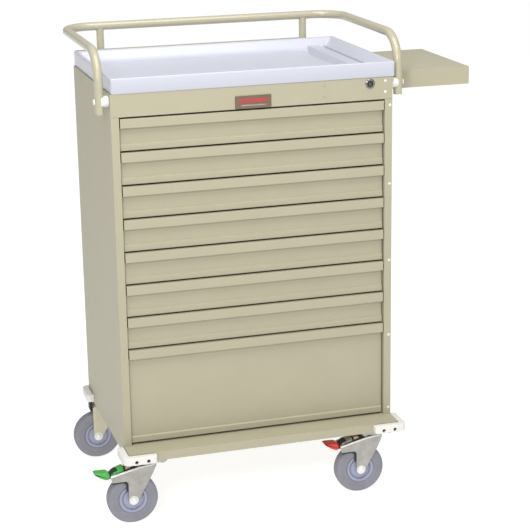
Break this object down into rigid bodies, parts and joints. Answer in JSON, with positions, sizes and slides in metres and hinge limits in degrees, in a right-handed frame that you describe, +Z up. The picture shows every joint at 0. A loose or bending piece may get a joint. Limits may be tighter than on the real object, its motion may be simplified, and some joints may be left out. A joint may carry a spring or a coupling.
{
  "type": "medication cart",
  "caption": "Rolling sheet-steel drawer cabinet with a rimmed top tray, guard rail, pull-out side shelf, central lock, corner bumpers and swivel casters.",
  "frame": {"origin": "middle of the whole cart's footprint on the floor, with the side shelf drawn out", "axes": "+Z up; +X to the right of someone facing the drawers, the way the side shelf draws out; +Y from the drawer fronts to the back"},
  "size_m": [1.0076, 0.5466, 1.1485],
  "materials": {
    "sand_paint": "powder coated, light sand, satin",
    "drawer_paint": "powder coated, light sand",
    "fork_paint": "painted light sand",
    "rivet_paint": "painted rivet heads",
    "tray_plastic": "white moulded plastic, soft gloss",
    "bumper_plastic": "off-white moulded plastic",
    "zinc_steel": "zinc plated steel",
    "zinc_sheet": "galvanised sheet",
    "lock_chrome": "chrome plated lock",
    "dark_steel": "blackened screw heads",
    "plate_metal": "bronze tinted plain plate",
    "hub_plastic": "blue-grey moulded hub",
    "tyre": "grey rubber tread",
    "pedal_green": "green moulded pedal",
    "pedal_red": "red moulded pedal"
  },
  "bodies": {
    "cabinet": {"side_panel_left": "sand_paint", "side_panel_right": "sand_paint", "back_panel": "sand_paint", "lock_panel": "sand_paint", "top_deck": "sand_paint", "base_pan": "sand_paint", "slide_uprights": "zinc_sheet", "cabinet_runners": "zinc_sheet", "top_tray": "tray_plastic", "guard_rail": "sand_paint", "rail_posts": "sand_paint", "rail_spacers": "bumper_plastic", "rail_bolts": "zinc_steel", "nameplate": "plate_metal", "lock_housing": "lock_chrome", "shelf_guides": "zinc_sheet", "corner_bumpers": "bumper_plastic", "bumper_screws": "dark_steel", "panel_rivets": "rivet_paint", "side_screws": "sand_paint", "caster_plates": "zinc_steel", "caster_bolts": "zinc_steel"},
    "drawer_1": {"drawer_front_1": "sand_paint", "drawer_box_1": "drawer_paint"},
    "drawer_2": {"drawer_front_2": "sand_paint", "drawer_box_2": "drawer_paint"},
    "drawer_3": {"drawer_front_3": "sand_paint", "drawer_box_3": "drawer_paint"},
    "drawer_4": {"drawer_front_4": "sand_paint", "drawer_box_4": "drawer_paint"},
    "drawer_5": {"drawer_front_5": "sand_paint", "drawer_box_5": "drawer_paint"},
    "drawer_6": {"drawer_front_6": "sand_paint", "drawer_box_6": "drawer_paint"},
    "drawer_7": {"drawer_front_7": "sand_paint", "drawer_box_7": "drawer_paint"},
    "drawer_8": {"drawer_front_8": "sand_paint", "drawer_box_8": "drawer_paint"},
    "side_shelf": {"side_shelf": "sand_paint"},
    "lock_plug": {"lock_plug": "lock_chrome"},
    "lock_bar": {"lock_bar": "zinc_sheet"},
    "caster_front_left": {"fork_front_left": "zinc_steel", "axle_front_left": "zinc_steel"},
    "wheel_front_left": {"hub_front_left": "hub_plastic", "tyre_front_left": "tyre"},
    "pedal_front_left": {"pedal_front_left": "pedal_green"},
    "caster_front_right": {"fork_front_right": "zinc_steel", "axle_front_right": "zinc_steel"},
    "wheel_front_right": {"hub_front_right": "hub_plastic", "tyre_front_right": "tyre"},
    "pedal_front_right": {"pedal_front_right": "pedal_red"},
    "caster_rear_left": {"fork_rear_left": "fork_paint", "axle_rear_left": "zinc_steel"},
    "wheel_rear_left": {"hub_rear_left": "hub_plastic", "tyre_rear_left": "tyre"},
    "caster_rear_right": {"fork_rear_right": "fork_paint", "axle_rear_right": "zinc_steel"},
    "wheel_rear_right": {"hub_rear_right": "hub_plastic", "tyre_rear_right": "tyre"}
  },
  "joints": [
    {"name": "drawer_1_slide", "type": "slide", "parent": "cabinet", "child": "drawer_1", "axis": [0, -1, 0], "range_m": [0, 0.33]},
    {"name": "drawer_2_slide", "type": "slide", "parent": "cabinet", "child": "drawer_2", "axis": [0, -1, 0], "range_m": [0, 0.33]},
    {"name": "drawer_3_slide", "type": "slide", "parent": "cabinet", "child": "drawer_3", "axis": [0, -1, 0], "range_m": [0, 0.33]},
    {"name": "drawer_4_slide", "type": "slide", "parent": "cabinet", "child": "drawer_4", "axis": [0, -1, 0], "range_m": [0, 0.33]},
    {"name": "drawer_5_slide", "type": "slide", "parent": "cabinet", "child": "drawer_5", "axis": [0, -1, 0], "range_m": [0, 0.33]},
    {"name": "drawer_6_slide", "type": "slide", "parent": "cabinet", "child": "drawer_6", "axis": [0, -1, 0], "range_m": [0, 0.33]},
    {"name": "drawer_7_slide", "type": "slide", "parent": "cabinet", "child": "drawer_7", "axis": [0, -1, 0], "range_m": [0, 0.33]},
    {"name": "drawer_8_slide", "type": "slide", "parent": "cabinet", "child": "drawer_8", "axis": [0, -1, 0], "range_m": [0, 0.33]},
    {"name": "side_shelf_slide", "type": "slide", "parent": "cabinet", "child": "side_shelf", "axis": [1, 0, 0], "range_m": [-0.232, 0]},
    {"name": "lock_turn", "type": "hinge", "parent": "cabinet", "child": "lock_plug", "pos_m": [0.21282, -0.20125, 1.0295], "axis": [0, 1, 0], "range_deg": [0, 90]},
    {"name": "lock_bar_drop", "type": "slide", "parent": "cabinet", "child": "lock_bar", "axis": [0, 0, -1], "range_m": [0, 0.01]},
    {"name": "swivel_front_left", "type": "hinge", "parent": "cabinet", "child": "caster_front_left", "pos_m": [-0.36418, -0.22225, 0.15], "axis": [0, 0, 1], "continuous": true},
    {"name": "roll_front_left", "type": "hinge", "parent": "caster_front_left", "child": "wheel_front_left", "pos_m": [-0.40618, -0.22225, 0.0625], "axis": [0, 1, 0], "continuous": true},
    {"name": "pedal_front_left_press", "type": "hinge", "parent": "caster_front_left", "child": "pedal_front_left", "pos_m": [-0.44218, -0.22225, 0.1325], "axis": [0, -1, 0], "range_deg": [0, 12]},
    {"name": "swivel_front_right", "type": "hinge", "parent": "cabinet", "child": "caster_front_right", "pos_m": [0.21782, -0.22225, 0.15], "axis": [0, 0, 1], "continuous": true},
    {"name": "roll_front_right", "type": "hinge", "parent": "caster_front_right", "child": "wheel_front_right", "pos_m": [0.17582, -0.22225, 0.0625], "axis": [0, 1, 0], "continuous": true},
    {"name": "pedal_front_right_press", "type": "hinge", "parent": "caster_front_right", "child": "pedal_front_right", "pos_m": [0.13982, -0.22225, 0.1325], "axis": [0, -1, 0], "range_deg": [0, 12]},
    {"name": "swivel_rear_left", "type": "hinge", "parent": "cabinet", "child": "caster_rear_left", "pos_m": [-0.36418, 0.21175, 0.15], "axis": [0, 0, 1], "continuous": true},
    {"name": "roll_rear_left", "type": "hinge", "parent": "caster_rear_left", "child": "wheel_rear_left", "pos_m": [-0.40618, 0.21175, 0.0625], "axis": [0, 1, 0], "continuous": true},
    {"name": "swivel_rear_right", "type": "hinge", "parent": "cabinet", "child": "caster_rear_right", "pos_m": [0.21782, 0.21175, 0.15], "axis": [0, 0, 1], "continuous": true},
    {"name": "roll_rear_right", "type": "hinge", "parent": "caster_rear_right", "child": "wheel_rear_right", "pos_m": [0.17582, 0.21175, 0.0625], "axis": [0, 1, 0], "continuous": true}
  ],
  "couplings": [
    {"joint": "lock_turn", "follows": "lock_bar_drop", "rad_per_m": 157.08}
  ]
}
